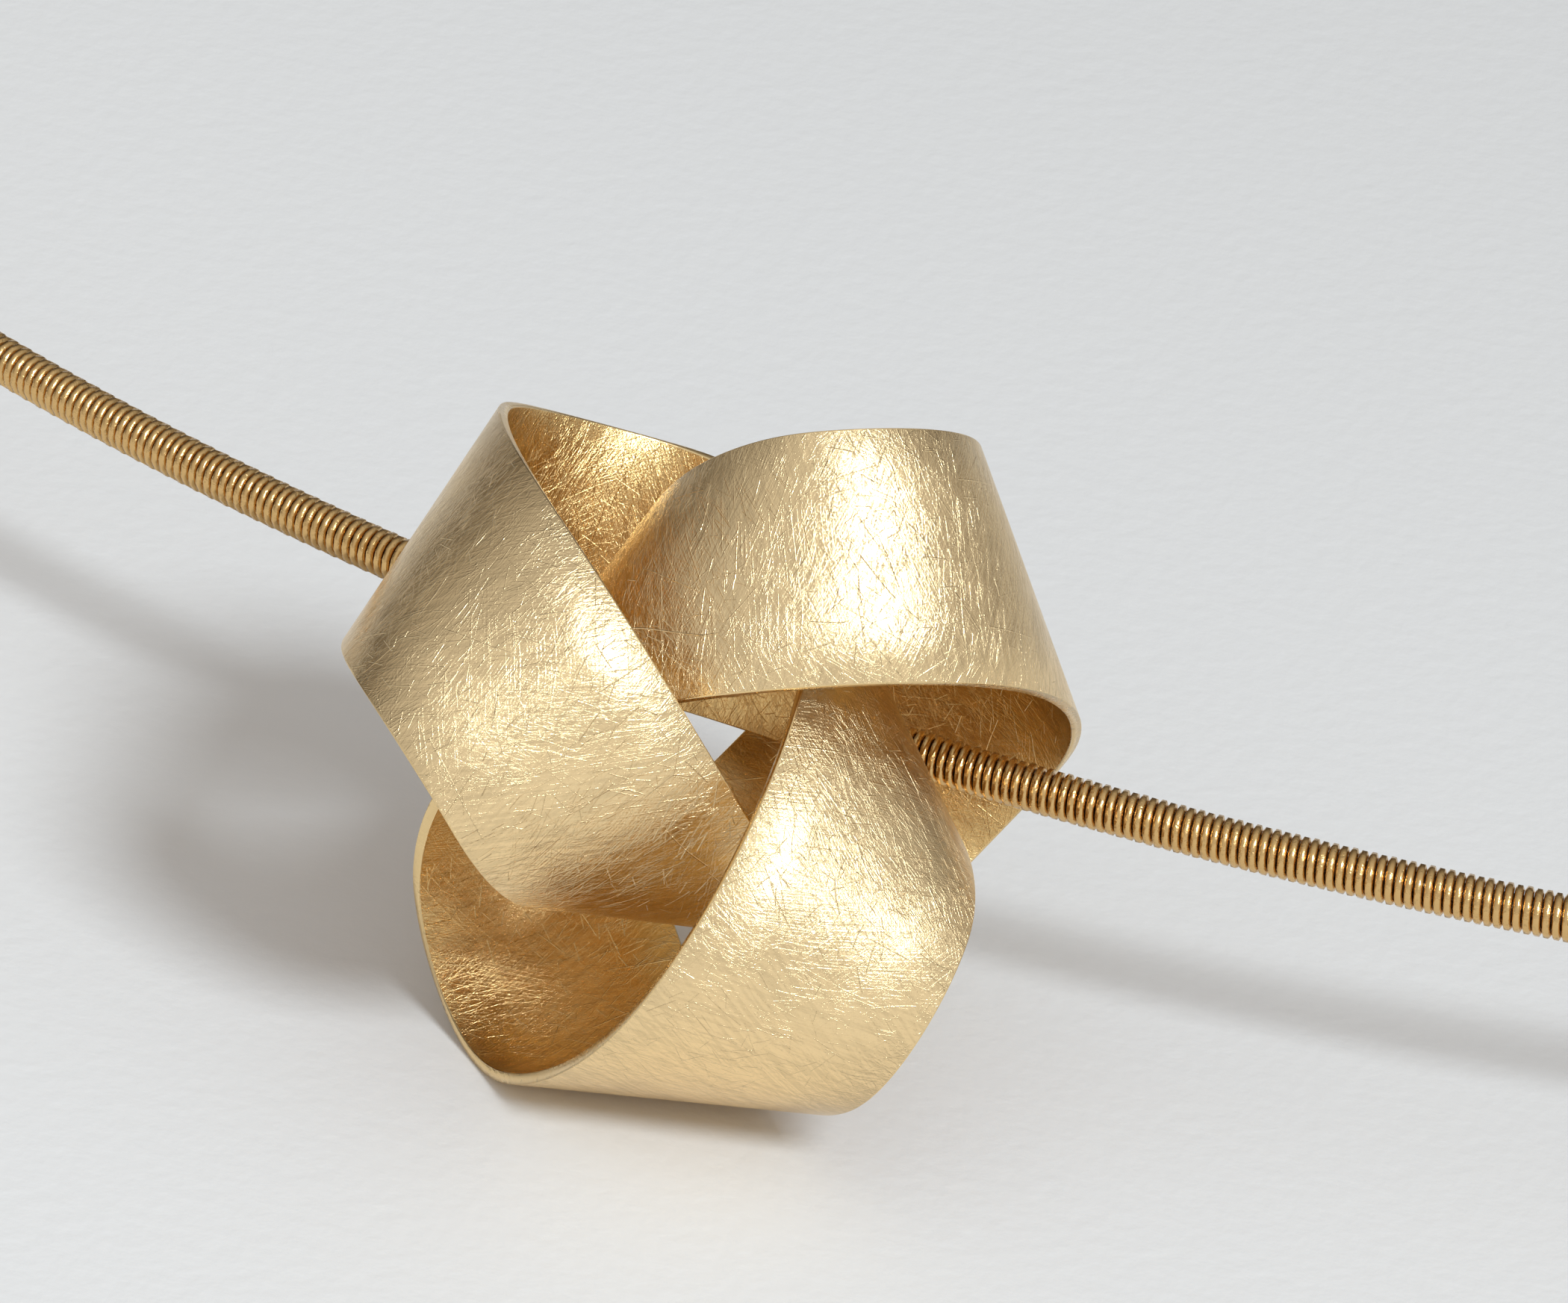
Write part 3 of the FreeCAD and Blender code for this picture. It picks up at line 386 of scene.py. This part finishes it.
def satin_gold(knot, name, base):
    """The band's faces: matted by hand, mostly with strokes across the strip.

    On the third lobe the hand slants: there the strokes turn from ACROSS to
    SLANTED, and the hairlines near those two leans gain and lose depth.
    """
    material, w, shader = new_finish(name)
    flat = w.add("ShaderNodeUVMap", uv_map="flat_strip").outputs[0]
    place = w.add("ShaderNodeMapping", {
        "Vector": flat,
        "Scale": (knot.band_length / MM, knot.band_width / MM, 1)}).outputs[0]
    streaks = None
    for lean, patch in ((1.15, 0.5), (1.75, 0.7)):
        hairs = placed(w, "Brushed hairs", Vector=place, Lean=lean,
                       Fineness=8.5, Stretch=48.0, Patch=patch,
                       Bow=0.4)["Height"]
        streaks = (hairs if streaks is None
                   else w.math("ADD", streaks, hairs))
    total = w.math("MULTIPLY", streaks, 0.15)
    along = w.add("ShaderNodeSeparateXYZ", {0: flat}).outputs[0]
    slant = w.ease(w.math("ABSOLUTE", w.math("SUBTRACT", along, THIRD_LOBE)),
                   SLANT_END, SLANT_FULL)
    gaining = w.ease(slant, 0.0, 1.0, 0.5, 1.7)
    losing = w.ease(slant, 0.0, 1.0, 1.2, 0.4)
    layers = [("Brushed hairs",
               dict(Lean=lean, Fineness=17.0, Stretch=60.0, Patch=0.9,
                    Bow=0.5), 0.45)
              for lean in (1.0, 2.0)]
    layers += [("Brushed hairs",
                dict(Lean=lean, Fineness=19.0, Stretch=70.0, Patch=1.1,
                     Bow=0.5, Rarity=0.12), share)
               for lean, share in ((0.65, gaining), (1.15, 1.1),
                                   (1.55, losing), (1.95, 0.9), (2.6, 0.7))]
    hand = w.ease(slant, 0.0, 1.0, ACROSS, SLANTED)
    layers += [("Scratch strokes",
                dict(Per_mm=close, Width=wide, Length=far, Lean=hand,
                     Spread=spread, Bow=0.4), deep)
               for close, wide, far, spread, deep in (
                   (0.5, 0.022, 2.6, 3.14, 1.9), (1.0, 0.019, 1.4, 1.4, 1.8),
                   (1.8, 0.017, 0.9, 3.14, 1.6), (2.2, 0.016, 1.0, 1.6, 1.6),
                   (1.2, 0.015, 1.4, 1.8, 1.6), (2.8, 0.014, 0.6, 3.14, 1.5))]
    for effect_name, values, share in layers:
        marks = placed(w, effect_name, Vector=place, **values)["Height"]
        total = w.math("ADD", total, w.math("MULTIPLY", marks, share))
    wear = placed(w, "Handling wear", Vector=place, Cloud=0.35)
    tint = w.mix(w.ease(streaks, 0.15, 1.4), rgba(base, 1.04),
                 rgba(base, 0.90))
    w.tree.links.new(tint, shader.inputs["Base Color"])
    grain = w.noise(place, 17.0, 2.0).outputs["Fac"]
    total = w.math("ADD", total, w.math("MULTIPLY", grain, 0.9))
    rough = w.math("ADD", w.ease(wear["Clouds"], 0.0, 1.0, 0.27, 0.22),
                   w.math("MULTIPLY", slant, 0.05))
    w.tree.links.new(rough, shader.inputs["Roughness"])
    w.tree.links.new(bump(w, total, SCRATCH_DEPTH), shader.inputs["Normal"])
    shader.inputs["Metallic"].default_value = 1.0
    return material


def polished_gold(name, base, rough, dent):
    """Polished gold with fine hairlines and light handling wear."""
    material, w, shader = new_finish(name)
    place = object_mm(w)
    hairs = placed(w, "Brushed hairs", Vector=place, Lean=0.6, Fineness=9.0,
                   Stretch=9.0, Patch=0.8, Bow=0.5)["Height"]
    wear = placed(w, "Handling wear", Vector=place, Cloud=0.6, Speck=6.0)
    tint = w.mix(wear["Specks"], rgba(base), rgba(base, 0.82))
    w.tree.links.new(tint, shader.inputs["Base Color"])
    gloss = w.math("ADD", w.ease(wear["Clouds"], 0, 1, rough, rough * 1.5),
                   w.math("MULTIPLY", hairs, 0.08))
    w.tree.links.new(gloss, shader.inputs["Roughness"])
    height = w.math("ADD", hairs, w.math("MULTIPLY", wear["Specks"], -1.5))
    w.tree.links.new(bump(w, height, dent * MM), shader.inputs["Normal"])
    shader.inputs["Metallic"].default_value = 1.0
    return material


def drawn_steel(name, base, rough):
    """Drawn steel with faint draw marks."""
    material, w, shader = new_finish(name)
    place = object_mm(w)
    hairs = placed(w, "Brushed hairs", Vector=place, Lean=0.2, Fineness=14.0,
                   Stretch=10.0, Patch=1.0, Bow=0.2)["Height"]
    wear = placed(w, "Handling wear", Vector=place, Cloud=1.2)
    tint = w.mix(wear["Clouds"], rgba(base, 0.85), rgba(base))
    w.tree.links.new(tint, shader.inputs["Base Color"])
    w.tree.links.new(w.ease(hairs, 0, 1, rough, rough * 1.4),
                     shader.inputs["Roughness"])
    w.tree.links.new(bump(w, hairs, 0.003 * MM), shader.inputs["Normal"])
    shader.inputs["Metallic"].default_value = 1.0
    return material


def white_floor(base):
    """Matt white board with a faint tooth, its colour darkened towards the back as painted shade
    for light falling off.
    """
    material, w, shader = new_finish("white_floor")
    place = object_mm(w)
    tooth = w.noise(place, 1.6, 4.0).outputs["Fac"]
    back = w.add("ShaderNodeSeparateXYZ", {0: place}).outputs[1]
    # Painted shade: the colour dims from front to back in place of the light falling off with
    # distance.
    tint = w.mix(w.ease(back, FLOOR_PAINTED_SHADE_START, FLOOR_PAINTED_SHADE_END), rgba(base, 1.06),
                 rgba(base, 0.80))
    w.tree.links.new(tint, shader.inputs["Base Color"])
    w.tree.links.new(bump(w, tooth, 0.03 * MM), shader.inputs["Normal"])
    shader.inputs["Roughness"].default_value = 0.7
    shader.inputs["Specular IOR Level"].default_value = 0.25
    return material


# -------------------------------------------------------------------- benches
def deselect():
    bpy.ops.object.select_all(action="DESELECT")


def edit():
    bpy.ops.object.mode_set(mode="EDIT")
    bpy.ops.mesh.select_all(action="SELECT")


def leave_edit():
    bpy.ops.object.mode_set(mode="OBJECT")


def set_place():
    bpy.ops.object.transform_apply(location=True, rotation=True, scale=True)


def apply_modifier(kind, **settings):
    """Give the active object one modifier and apply it."""
    piece = bpy.context.object
    modifier = piece.modifiers.new(kind.lower(), kind)
    for name, value in settings.items():
        setattr(modifier, name, value)
    bpy.ops.object.modifier_apply(modifier=modifier.name)
    return piece


def hand_over(piece, name, slot, body, node, *materials):
    """Name a finished piece and tie it to the part."""
    piece.name = piece.data.name = name
    slots = piece.data.materials
    for index, material in enumerate(materials):
        if index < len(slots):
            slots[index] = material
        else:
            slots.append(material)
    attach(piece, body)
    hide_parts(node)
    piece.select_set(False)


# ------------------------------------------------------------------ neck wire
def winding_half_gap(outer):
    """Angle from the clasp's side of the hoop to the end of the winding."""
    reach = (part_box("coil_winding")[1].y - HOOP_CENTRE.y) / math.cos(HOOP_TILT)
    return math.acos(reach / outer)


def straight_coil(wire, turns, pitch):
    """One stretch of the winding, wound straight along X about the origin."""
    start = (-turns * pitch / 2, 0, wire.diameter / 2 - wire.winding / 2)
    deselect()
    bpy.ops.mesh.primitive_circle_add(
        vertices=wire.sides, radius=wire.winding / 2, fill_type="NOTHING",
        location=start, rotation=(math.pi / 2, 0, 0))
    set_place()
    edit()
    bpy.ops.transform.rotate(value=math.pi / wire.sides, orient_axis="Y",
                             center_override=start)
    bpy.ops.transform.resize(value=(1, 1, WIRE_OVAL), center_override=start)
    leave_edit()
    # each repeat of the screw makes two turns, to share out the facets
    coil = apply_modifier("SCREW", axis="X", angle=4 * math.pi,
                          screw_offset=2 * pitch, iterations=turns // 2,
                          steps=wire.facets, render_steps=wire.facets,
                          use_smooth_shade=True)
    edit()
    bpy.ops.mesh.fill_holes(sides=wire.sides)
    bpy.ops.mesh.select_all(action="SELECT")
    bpy.ops.mesh.normals_make_consistent(inside=False)
    leave_edit()
    return coil


class NECKLACE_OT_wind_neck_wire(bpy.types.Operator):
    """Wind the neck wire and bend it to the hoop"""
    bl_idname = "necklace.wind_neck_wire"
    bl_label = "Wind Neck Wire"

    def execute(self, context):
        settings = context.scene.necklace
        wire = settings.wire
        low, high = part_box("coil_winding")
        outer = (high.x - low.x) / 2
        hoop = outer - wire.diameter / 2
        arc = (2 * math.pi - 2 * winding_half_gap(outer)) / wire.stretches
        turns = 2 * round(arc * hoop / (wire.winding + wire.turn_gap) / 2)
        if turns < 2:
            raise RuntimeError("the winding has no turns")
        coil = straight_coil(wire, turns, arc * hoop / turns)
        extent = coil.dimensions.x
        apply_modifier("SIMPLE_DEFORM", deform_method="BEND",
                       deform_axis="Z", angle=extent / hoop)
        material = polished_gold("wound_gold", settings.finish.winding,
                                 0.16, 0.004)
        start = Matrix.Translation((0, -hoop, 0))
        for i in range(wire.stretches):
            deselect()
            coil.select_set(True)
            context.view_layer.objects.active = coil
            bpy.ops.object.duplicate(linked=False)
            stretch = context.object
            turn = (i - (wire.stretches - 1) / 2) * arc
            stretch.matrix_world = (HOOP_SEAT @ Matrix.Rotation(turn, 4, "Z")
                                    @ start)
            set_place()
            hand_over(stretch, "winding_stretch_%d" % (i + 1), "gold_wire",
                      "collar", "coil_winding", material)
        bpy.data.objects.remove(coil)
        return {"FINISHED"}


# ------------------------------------------------------------------------ knot
def law(knot, mean, overtones, phase):
    """A bending or twisting law at a phase from 0 (outer) to pi (inner)."""
    value = mean
    for order, overtone in enumerate(overtones, start=1):
        value += overtone * math.cos(order * phase)
    return 2 * math.pi / knot.band_length * value


def bend_at(knot, mean, phase):
    return law(knot, mean, (knot.bend_swing, knot.bend_second,
                            knot.bend_third), phase)


def twist_at(knot, mean, phase):
    return law(knot, mean, (knot.twist_swing,), phase)


def about(axis, turn):
    """The 3 x 3 matrix of a turn about an axis, by Rodrigues' formula."""
    x, y, z = axis / np.linalg.norm(axis)
    cross = np.array([[0, -z, y], [z, 0, -x], [-y, x, 0]])
    return (np.eye(3) + math.sin(turn) * cross
            + (1 - math.cos(turn)) * cross @ cross)


def strip_sixth(knot, bend, twist, steps):
    """Stations (point, tangent, outward normal) from an outer curl inwards."""
    step = knot.band_length / 6 / steps
    point = np.zeros(3)
    tangent, normal = np.array([0.0, 0, 1]), np.array([1.0, 0, 0])
    stations = [(point, tangent, normal)]
    for i in range(steps):
        phase = math.pi * (i + 0.5) / steps
        turn = (tangent * twist_at(knot, twist, phase)
                - np.cross(tangent, normal) * bend_at(knot, bend, phase))
        swing = np.linalg.norm(turn) * step
        half, whole = about(turn, swing / 2), about(turn, swing)
        point = point + (tangent + 4 * half @ tangent
                         + whole @ tangent) * step / 6
        tangent, normal = whole @ tangent, whole @ normal
        stations.append((point, tangent, normal))
    return stations


def closing_error(knot, means):
    """How far the two symmetry axes of a sixth miss meeting at 120 degrees."""
    steps = 48
    first, *_, last = strip_sixth(knot, means[0], means[1], steps)
    upright = np.cross(first[2], last[2])
    apart = (last[0] - first[0]) @ upright / np.linalg.norm(upright)
    return np.array([apart / knot.band_length,
                     first[2] @ last[2] - math.cos(2 * math.pi / 3)])


def closing_means(knot):
    """Newton's method on the mean bend and twist that close the strip."""
    means, nudge, near_enough, tries = np.array([2.63, 0.35]), 1e-6, 1e-9, 20
    for _ in range(tries):
        miss = closing_error(knot, means)
        if abs(miss).sum() < near_enough:
            return means
        slopes = np.stack([(closing_error(knot, means + d) - miss) / nudge
                           for d in np.eye(2) * nudge], axis=1)
        means = means - np.linalg.solve(slopes, miss)
    raise RuntimeError("the strip doesn't close: " + str(miss))


def knot_stations(knot):
    """Stations (point, normal, ruling, slant) round the whole knot.

    Z is the knot's threefold axis and the first outer curl lies on +X.  The
    ruling is the straight line of the bent strip, per unit of width.
    """
    bend, twist = closing_means(knot)
    sixth = strip_sixth(knot, bend, twist, knot.steps)
    x_dir = sixth[0][2]
    z_dir = np.cross(x_dir, sixth[-1][2])
    z_dir /= np.linalg.norm(z_dir)
    y_dir = np.cross(z_dir, x_dir)
    span, outward = sixth[-1][0] - sixth[0][0], sixth[-1][2]
    centre = sixth[-1][0] - outward * (span @ y_dir) / (outward @ y_dir)
    turned = np.stack([x_dir, y_dir, z_dir])
    third = []
    for i, (point, tangent, normal) in enumerate(sixth):
        phase = math.pi * i / knot.steps
        slant = twist_at(knot, twist, phase) / bend_at(knot, bend, phase)
        ruling = np.cross(tangent, normal) - tangent * slant
        third.append((turned @ (point - centre), turned @ normal,
                      turned @ ruling, slant))
    # The second sixth is the first, turned half round the inner curl's axis.
    inner = np.array([math.cos(2 * math.pi / 3), math.sin(2 * math.pi / 3), 0])
    half_turn = about(inner, math.pi)
    for point, normal, ruling, slant in third[-2:0:-1]:
        third.append((half_turn @ point, half_turn @ normal,
                      -half_turn @ ruling, slant))
    stations = []
    for turn in (0, 240, 480):
        spin = about(np.array([0, 0, 1.0]), turn * DEGREE)
        stations += [(spin @ p, spin @ n, spin @ r, slant)
                     for p, n, r, slant in third]
    return stations


class NECKLACE_OT_tie_knot(bpy.types.Operator):
    """Bend the flat strip into the closed knot"""
    bl_idname = "necklace.tie_knot"
    bl_label = "Tie Knot"

    def execute(self, context):
        settings = context.scene.necklace
        knot = settings.knot
        stations = knot_stations(knot)
        count, rows = len(stations), 4
        seam = knot.steps
        deselect()
        bpy.ops.mesh.primitive_grid_add(x_subdivisions=count,
                                        y_subdivisions=rows, size=1,
                                        calc_uvs=True)
        bpy.ops.transform.resize(value=(knot.band_length, knot.band_width, 1))
        set_place()
        strip = context.object
        uv = strip.data.uv_layers.active
        uv.name = "flat_strip"
        flat = []
        for vertex in strip.data.vertices:
            along = vertex.co.x / knot.band_length + 0.5
            across = vertex.co.y
            point, normal, ruling, slant = stations[
                (round(along * count) + seam) % count]
            flat.append((along - across * slant / knot.band_length,
                         across / knot.band_width + 0.5))
            vertex.co = Vector(point + ruling * across)
        for loop in strip.data.loops:
            uv.data[loop.index].uv = flat[loop.vertex_index]
        edit()
        bpy.ops.mesh.remove_doubles(threshold=COARSE_MESH_GAP)
        bpy.ops.mesh.normals_make_consistent(inside=False)
        leave_edit()
        for _ in range(3):
            strip.data.materials.append(None)
        apply_modifier("SOLIDIFY", thickness=knot.thickness, offset=0,
                       use_even_offset=True, material_offset_rim=1,
                       material_offset=2)
        apply_modifier("BEVEL", width=knot.rim_round, segments=2,
                       limit_method="ANGLE", angle_limit=60 * DEGREE,
                       material=1, harden_normals=True)
        bpy.ops.object.shade_smooth_by_angle(angle=40 * DEGREE)
        strip.matrix_world = (
            HOOP_SEAT
            @ Matrix.Translation((0, -hoop_radius(settings) - knot.outward,
                                  knot.upward))
            @ Matrix.Rotation(knot.yaw, 4, "Z")
            @ Matrix.Rotation(knot.pitch, 4, "Y")
            @ Matrix.Rotation(knot.roll, 4, "X"))
        set_place()
        finish = settings.finish
        rims = polished_gold("rim_gold", finish.polished, 0.20, 0.003)
        outside = satin_gold(knot, "satin_outside", finish.satin)
        # Painted shade: the inner faces take the deeper gold in place of the light bounced
        # between the band's faces.
        inside = satin_gold(knot, "satin_inside_painted_shade", finish.satin_inside_painted_shade)
        hand_over(strip, "knotted_band", "gold_brushed", "pendant",
                  "knot_band", outside, rims, inside)
        return {"FINISHED"}


def hoop_radius(settings):
    low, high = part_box("coil_winding")
    return (high.x - low.x) / 2 - settings.wire.diameter / 2


# -------------------------------------------------------------------- fittings
def softened(node, edge_round):
    """A merged copy of a solid part, with softened edges or polished slim."""
    deselect()
    piece = frame["nodes"][node].copy()
    piece.data = piece.data.copy()
    bpy.context.collection.objects.link(piece)
    piece.parent = None
    piece.matrix_world = Matrix.Identity(4)
    for key in list(piece.keys()):
        del piece[key]
    piece.select_set(True)
    bpy.context.view_layer.objects.active = piece
    edit()
    bpy.ops.mesh.remove_doubles(threshold=SOLID_MESH_GAP)
    if edge_round:
        bpy.ops.mesh.dissolve_limited(angle_limit=0.5 * DEGREE)
    else:
        # The polish takes a little off a ring, which frees it to roll.
        bpy.ops.transform.shrink_fatten(value=-POLISH_LOSS)
    leave_edit()
    if edge_round:
        apply_modifier("BEVEL", width=edge_round * MM, segments=2,
                       limit_method="ANGLE", angle_limit=35 * DEGREE)
    bpy.ops.object.shade_smooth_by_angle(angle=30 * DEGREE)
    return piece


class NECKLACE_OT_finish_fittings(bpy.types.Operator):
    """Finish the caps, rings, clasp, gate, rivet, spring and core"""
    bl_idname = "necklace.finish_fittings"
    bl_label = "Finish Fittings"

    def execute(self, context):
        settings = context.scene.necklace
        finish = settings.finish
        gold = polished_gold("polished_gold", finish.polished, 0.11, 0.0015)
        steel = drawn_steel("spring_steel", finish.steel, 0.28)
        core = drawn_steel("core_steel", finish.steel, 0.40)
        for node, body, edge_round in (
                ("end_cap_left", "collar", 0.05),
                ("end_cap_right", "collar", 0.05),
                ("jump_ring", "left_ring", 0),
                ("closing_ring", "right_ring", 0),
                ("clasp_body", "collar", 0.06),
                ("clasp_gate", "gate", 0.04),
                ("gate_rivet", "collar", 0.02)):
            hand_over(softened(node, edge_round), node + "_polished",
                      "gold_polished", body, node, gold)
        for node, material in (("gate_spring", steel), ("core_cable", core)):
            slots = frame["nodes"][node].data.materials
            slots.clear()
            slots.append(material)
        return {"FINISHED"}


# ----------------------------------------------------------------------- stage
def look(azimuth, elevation, roll=0.0):
    """Rotation of a camera or lamp that looks from those angles."""
    back = Vector((math.sin(azimuth) * math.cos(elevation),
                   -math.cos(azimuth) * math.cos(elevation),
                   math.sin(elevation)))
    return back, (back.to_track_quat("Z", "Y").to_matrix()
                  @ Matrix.Rotation(roll, 3, "Z"))


def studio_room(stage):
    """A world that dims softly from a pale side to a dim side."""
    world = bpy.data.worlds.new("studio_room")
    world.use_nodes = True
    w = Wiring(world.node_tree)
    toward, _ = look(stage.room_azimuth, stage.room_elevation)
    direction = w.add("ShaderNodeTexCoord").outputs["Generated"]
    facing = w.add("ShaderNodeVectorMath", {0: direction, 1: toward},
                   operation="DOT_PRODUCT").outputs["Value"]
    level = w.mix(w.ease(facing, -0.8, 1.0), rgba(stage.dim_side),
                  rgba(stage.bright_side))
    world.node_tree.links.new(
        level, world.node_tree.nodes["Background"].inputs["Color"])
    return world


class NECKLACE_OT_set_stage(bpy.types.Operator):
    """Lay the floor and set the key light, the room and the camera"""
    bl_idname = "necklace.set_stage"
    bl_label = "Set Stage"

    def execute(self, context):
        settings = context.scene.necklace
        stage = settings.stage
        low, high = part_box("knot_band")
        knot_centre = (low + high) / 2

        deselect()
        bpy.ops.mesh.primitive_circle_add(vertices=96, radius=FLOOR_RADIUS,
                                          fill_type="NGON",
                                          location=(0, 0, -FLOOR_DROP))
        set_place()
        floor = context.object
        floor.name = "floor"
        floor.data.materials.append(white_floor(settings.finish.floor))

        back, turn = look(stage.azimuth, stage.elevation, stage.roll)
        camera = bpy.data.cameras.new("camera")
        camera.lens = stage.lens
        camera.sensor_width = 36.0
        camera.clip_start, camera.clip_end = CAMERA_NEAR, CAMERA_FAR
        holder = bpy.data.objects.new("camera", camera)
        context.scene.collection.objects.link(holder)
        aim = knot_centre + turn @ Vector((stage.aim_right, stage.aim_up, 0))
        holder.matrix_world = (Matrix.Translation(aim + back * stage.distance)
                               @ turn.to_4x4())
        context.scene.camera = holder

        back, turn = look(stage.key_azimuth, stage.key_elevation)
        bpy.ops.object.light_add(
            type="SUN", location=knot_centre + back * stage.distance)
        key = context.object
        key.name = "key_light"
        key.rotation_euler = turn.to_euler()
        key.data.angle = stage.key_spread
        key.data.energy = stage.key_power
        key.data.color = stage.key_tint

        context.scene.world = studio_room(stage)
        context.scene.view_settings.view_transform = "Standard"
        return {"FINISHED"}


class NECKLACE_PT_bench(bpy.types.Panel):
    """The necklace's pieces in making order"""
    bl_label = "Knot Necklace"
    bl_space_type = "VIEW_3D"
    bl_region_type = "UI"
    bl_category = "Necklace"

    def draw(self, context):
        settings = context.scene.necklace
        for operator in OPERATORS:
            self.layout.operator(operator.bl_idname)
        for group in (settings.wire, settings.knot, settings.finish,
                      settings.stage):
            box = self.layout.box()
            for name in group.__annotations__:
                box.prop(group, name)


OPERATORS = (NECKLACE_OT_set_stage, NECKLACE_OT_tie_knot,
             NECKLACE_OT_wind_neck_wire, NECKLACE_OT_finish_fittings)
CLASSES = (NeckWireSizes, KnotSizes, Finishes, StageSettings,
           NecklaceSettings) + OPERATORS + (NECKLACE_PT_bench,)


def register():
    for cls in CLASSES:
        bpy.utils.register_class(cls)
    bpy.types.Scene.necklace = PointerProperty(type=NecklaceSettings)


def unregister():
    del bpy.types.Scene.necklace
    for cls in reversed(CLASSES):
        bpy.utils.unregister_class(cls)


def main():
    register()
    bpy.ops.necklace.set_stage()
    bpy.ops.necklace.tie_knot()
    bpy.ops.necklace.wind_neck_wire()
    bpy.ops.necklace.finish_fittings()


if __name__ == "__main__":
    main()
